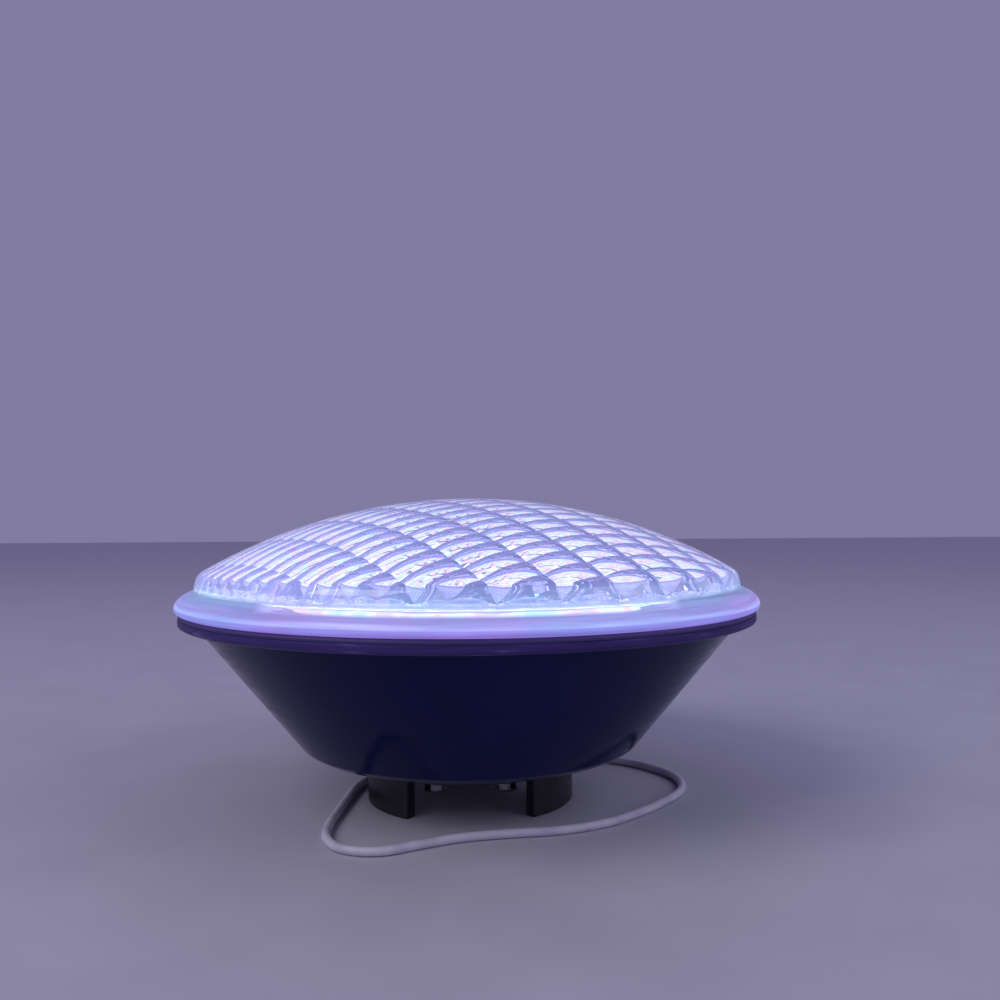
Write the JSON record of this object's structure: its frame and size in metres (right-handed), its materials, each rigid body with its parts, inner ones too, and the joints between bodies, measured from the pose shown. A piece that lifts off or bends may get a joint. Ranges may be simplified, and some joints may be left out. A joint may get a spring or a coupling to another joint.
{
  "type": "underwater pool light",
  "caption": "Round sealed LED pool lamp with a domed prismatic glass lens, conical housing and screw terminals, standing on its feet.",
  "frame": {"origin": "on the lamp's axis, in the plane that its three feet stand on", "axes": "+Z along the lamp's axis, towards the lens; -Y towards the side with the two screw terminals"},
  "size_m": [0.178, 0.178, 0.093],
  "materials": {
    "lens_glass": "clear pressed glass, smooth outside and prismatic inside",
    "seal_rubber": "matt silicone rubber",
    "housing_gloss": "gloss near-black navy",
    "reflector_white": "satin white",
    "plate_aluminium": "turned aluminium",
    "led_board_white": "white solder mask on an aluminium board",
    "led_red": "lit red emitter",
    "led_green": "lit green emitter",
    "led_blue": "lit blue emitter",
    "screw_steel": "bright nickel-plated steel",
    "terminal_brass": "turned brass",
    "board_green": "green solder mask",
    "component_black": "moulded black",
    "capacitor_sleeve": "shrink sleeve",
    "inductor_copper": "enamelled copper winding",
    "ribbon_grey": "flat grey ribbon",
    "wire_red": "red insulation",
    "wire_black": "black insulation",
    "cap_plastic": "dark moulded plastic",
    "lead_pale": "pale flexible sheath",
    "connector_white": "off-white moulded plastic"
  },
  "bodies": {
    "lamp": {"base_cap": "cap_plastic", "base_gasket": "seal_rubber", "base_screw_1": "screw_steel", "base_screw_2": "screw_steel", "base_screw_3": "screw_steel", "bridge_rectifier": "component_black", "capacitor": "capacitor_sleeve", "carrier_plate": "plate_aluminium", "control_chip": "component_black", "driver_board": "board_green", "driver_lead_1": "wire_red", "driver_lead_2": "wire_black", "driver_screw_1": "screw_steel", "driver_screw_2": "screw_steel", "driver_screw_3": "screw_steel", "fork_lug_1": "screw_steel", "fork_lug_2": "screw_steel", "front_lens": "lens_glass", "inductor": "inductor_copper", "lead_coil": "lead_pale", "lead_connector": "connector_white", "lead_core_1": "wire_red", "lead_core_2": "wire_black", "lead_tail": "lead_pale", "led_01": "led_green", "led_02": "led_blue", "led_03": "led_red", "led_04": "led_green", "led_05": "led_blue", "led_06": "led_red", "led_07": "led_green", "led_08": "led_blue", "led_09": "led_red", "led_10": "led_green", "led_11": "led_blue", "led_12": "led_red", "led_13": "led_green", "led_14": "led_blue", "led_15": "led_red", "led_16": "led_green", "led_17": "led_blue", "led_18": "led_red", "led_board": "led_board_white", "led_board_screw_1": "screw_steel", "led_board_screw_2": "screw_steel", "led_board_screw_3": "screw_steel", "led_ribbon": "ribbon_grey", "lens_seal": "seal_rubber", "rear_housing": "housing_gloss", "reflector": "reflector_white", "spacer_1": "terminal_brass", "spacer_2": "terminal_brass", "spacer_3": "terminal_brass", "supply_lead": "lead_pale", "terminal_post_1": "terminal_brass", "terminal_post_2": "terminal_brass"},
    "clamp_1": {"clamp_washer_1": "screw_steel"},
    "screw_1": {"terminal_screw_1": "screw_steel"},
    "clamp_2": {"clamp_washer_2": "screw_steel"},
    "screw_2": {"terminal_screw_2": "screw_steel"}
  },
  "joints": [
    {"name": "clamp_1_slide", "type": "slide", "parent": "lamp", "child": "clamp_1", "axis": [0, 0, -1], "range_m": [0, 0.0025]},
    {"name": "screw_1_turn", "type": "hinge", "parent": "clamp_1", "child": "screw_1", "pos_m": [-0.011, -0.008, 0.0043], "axis": [0, 0, -1], "range_deg": [0, 1286]},
    {"name": "clamp_2_slide", "type": "slide", "parent": "lamp", "child": "clamp_2", "axis": [0, 0, -1], "range_m": [0, 0.0025]},
    {"name": "screw_2_turn", "type": "hinge", "parent": "clamp_2", "child": "screw_2", "pos_m": [0.011, -0.008, 0.0043], "axis": [0, 0, -1], "range_deg": [0, 1286]}
  ],
  "couplings": [
    {"joint": "screw_1_turn", "follows": "clamp_1_slide", "rad_per_m": 8976},
    {"joint": "screw_2_turn", "follows": "clamp_2_slide", "rad_per_m": 8976}
  ]
}
